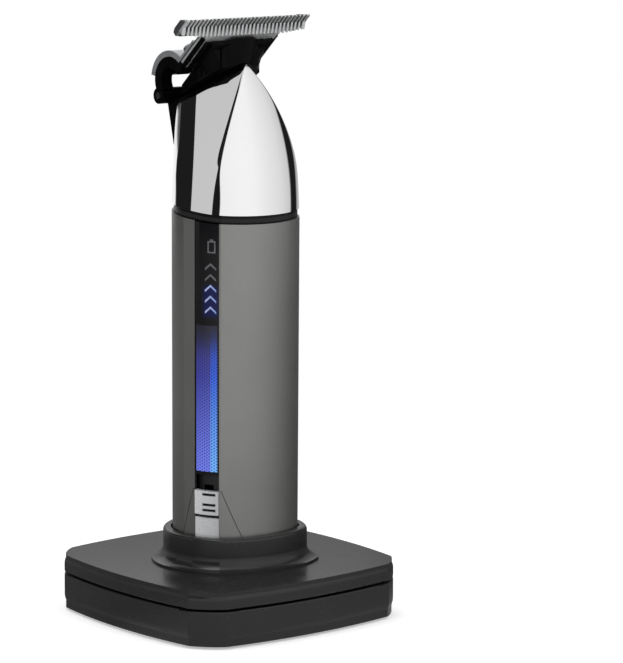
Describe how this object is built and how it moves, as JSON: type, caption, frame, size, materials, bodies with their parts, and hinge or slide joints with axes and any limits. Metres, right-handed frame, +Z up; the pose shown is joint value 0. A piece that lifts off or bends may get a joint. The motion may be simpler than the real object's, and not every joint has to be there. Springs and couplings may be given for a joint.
{
  "type": "beard trimmer",
  "caption": "Cordless beard trimmer with a wide toothed blade, chrome nose, lit display strip and power slider, standing in a square charging dock.",
  "frame": {"origin": "centre of the dock's footprint, on the table", "axes": "+Z up along the trimmer, +X along the blade, -Y the trimmer's front face"},
  "size_m": [0.079, 0.079, 0.1714],
  "materials": {
    "dock_shell": "soft matt dark grey, fine grain",
    "foot_rubber": "matt",
    "screw_steel": "plain zinc",
    "ballast_iron": "as cast",
    "board_green": "solder mask",
    "contact_gold": "plated",
    "inlet_black": "moulded",
    "cap_black": "moulded",
    "gunmetal": "satin brushed gunmetal",
    "trim_chrome": "bright",
    "inner_black": "moulded",
    "cell_wrap": "shrink wrap",
    "led_lens": "cast resin",
    "guide_clear": "frosted",
    "window_black": "piano black",
    "bar_blue": "lit from behind through a fine mesh",
    "mark_lit": "lit from behind",
    "mark_dim": "unlit mark",
    "slider_chrome": "bright",
    "ring_black": "satin black",
    "nose_chrome": "mirror polished",
    "motor_case": "drawn can",
    "crank_steel": "ground",
    "bracket_black": "moulded",
    "carrier_black": "moulded, slight sheen",
    "blade_steel": "ground",
    "cutter_steel": "ground",
    "spring_steel": "rolled",
    "plate_steel": "rolled"
  },
  "bodies": {
    "dock": {"dock_lower": "dock_shell", "dock_upper": "dock_shell", "dock_feet": "foot_rubber", "dock_screws": "screw_steel", "ballast": "ballast_iron", "charge_board": "board_green", "charge_pins": "contact_gold", "power_inlet": "inlet_black"},
    "trimmer": {"end_cap": "cap_black", "contact_plates": "contact_gold", "sleeve": "gunmetal", "apron": "gunmetal", "shoe_plate": "trim_chrome", "chassis": "inner_black", "battery": "cell_wrap", "main_board": "board_green", "led_row": "led_lens", "light_guide": "guide_clear", "window": "window_black", "light_bar": "bar_blue", "chevrons_lit": "mark_lit", "chevrons_dim": "mark_dim", "switch_bed": "inner_black", "switch_block": "inner_black", "joint_ring": "ring_black", "nose": "nose_chrome", "motor": "motor_case", "hinge_bracket": "bracket_black", "hinge_pin": "crank_steel"},
    "slider": {"slider": "slider_chrome"},
    "crank": {"crank": "crank_steel"},
    "head": {"carrier": "carrier_black", "fixed_blade": "blade_steel", "tension_spring": "spring_steel", "back_plate": "plate_steel", "hook_arm": "bracket_black", "blade_screws": "screw_steel"},
    "cutter": {"cutter": "cutter_steel"}
  },
  "joints": [
    {"name": "lift", "type": "slide", "parent": "dock", "child": "trimmer", "axis": [0, 0, 1], "range_m": [0, 0.03]},
    {"name": "power_slide", "type": "slide", "parent": "trimmer", "child": "slider", "axis": [0, 0, 1], "range_m": [0, 0.0032]},
    {"name": "crank_spin", "type": "hinge", "parent": "trimmer", "child": "crank", "pos_m": [0, 0.0049, 0.14], "axis": [0, 0, 1], "continuous": true},
    {"name": "head_tilt", "type": "hinge", "parent": "trimmer", "child": "head", "pos_m": [0, 0.018, 0.148], "axis": [-1, 0, 0], "range_deg": [0, 40]},
    {"name": "cutter_stroke", "type": "slide", "parent": "head", "child": "cutter", "axis": [1, 0, 0], "range_m": [-0.0012, 0.0012]}
  ]
}
